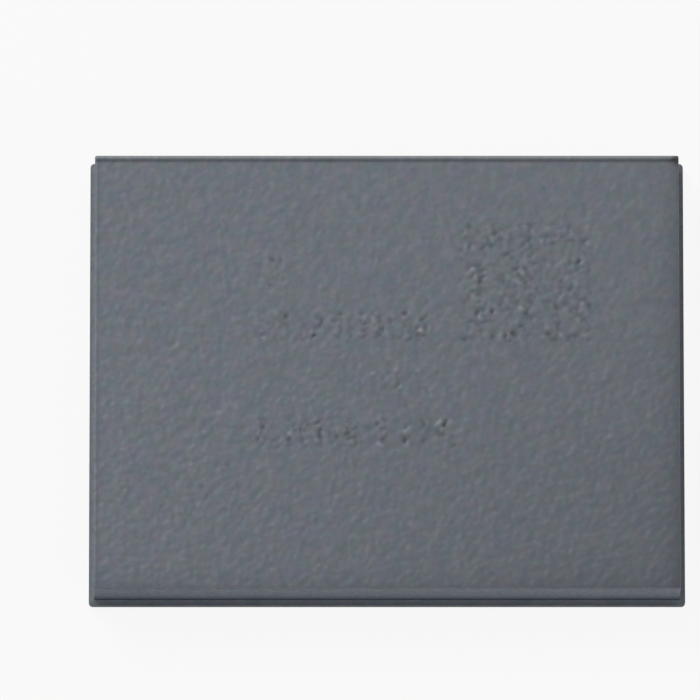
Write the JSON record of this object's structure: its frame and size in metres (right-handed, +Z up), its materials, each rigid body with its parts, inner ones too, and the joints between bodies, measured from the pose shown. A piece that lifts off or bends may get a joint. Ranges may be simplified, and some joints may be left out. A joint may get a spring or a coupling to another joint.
{
  "type": "wireless module",
  "caption": "Flat shielded radio module: moulded block under a thin metal shield, on a stepped laminate board with a ring of soldered lands underneath.",
  "frame": {"origin": "centre of the outline, at the tips of the solder on the lands", "axes": "+X along the long side, +Z up out of the shielded top face, -Y towards the viewer of the picture"},
  "size_m": [0.0104, 0.008, 0.0012],
  "materials": {
    "shield_metal": "sputtered, fine matt grain",
    "mould_epoxy": "moulded, satin",
    "laminate": "dark, sawn glass-filled laminate",
    "solder_mask": "dark teal, satin",
    "copper": "plated, satin",
    "solder": "reflowed, bright",
    "silicon": "polished",
    "package_epoxy": "moulded, matt",
    "alumina": "fired, matt",
    "fired_ceramic": "fired, matt",
    "titanate": "fired, satin",
    "ferrite": "pressed, matt",
    "quartz": "lapped",
    "lid_metal": "plated, satin",
    "plated_ends": "tin plated, satin"
  },
  "bodies": {
    "root": {"antenna_switch": "package_epoxy", "bypass_capacitor_bodies": "titanate", "bypass_capacitor_terminals": "plated_ends", "centre_pour": "copper", "component_pads": "copper", "component_solder": "solder", "crystal_base": "alumina", "crystal_lid": "lid_metal", "decoupling_capacitor_bodies": "titanate", "decoupling_capacitor_terminals": "plated_ends", "die_pads": "copper", "die_pillars": "copper", "diplexer": "fired_ceramic", "emi_shield": "shield_metal", "filter_base": "alumina", "filter_cap": "package_epoxy", "filter_chip": "silicon", "front_end_module_2g": "package_epoxy", "front_end_module_5g": "package_epoxy", "ground_plane_lower": "copper", "ground_plane_upper": "copper", "ground_vias": "copper", "lands_back": "copper", "lands_front": "copper", "lands_left": "copper", "lands_right": "copper", "matching_inductor_bodies": "fired_ceramic", "matching_inductor_terminals": "plated_ends", "mould_compound": "mould_epoxy", "power_inductor_bodies": "ferrite", "power_inductor_terminals": "plated_ends", "prepreg_lower": "laminate", "prepreg_upper": "laminate", "quartz_blank": "quartz", "resistor_bodies": "alumina", "resistor_terminals": "plated_ends", "soc_die": "silicon", "solder_back": "solder", "solder_front": "solder", "solder_left": "solder", "solder_mask_bottom": "solder_mask", "solder_mask_top": "solder_mask", "solder_right": "solder", "substrate_core": "laminate"}
  },
  "joints": []
}
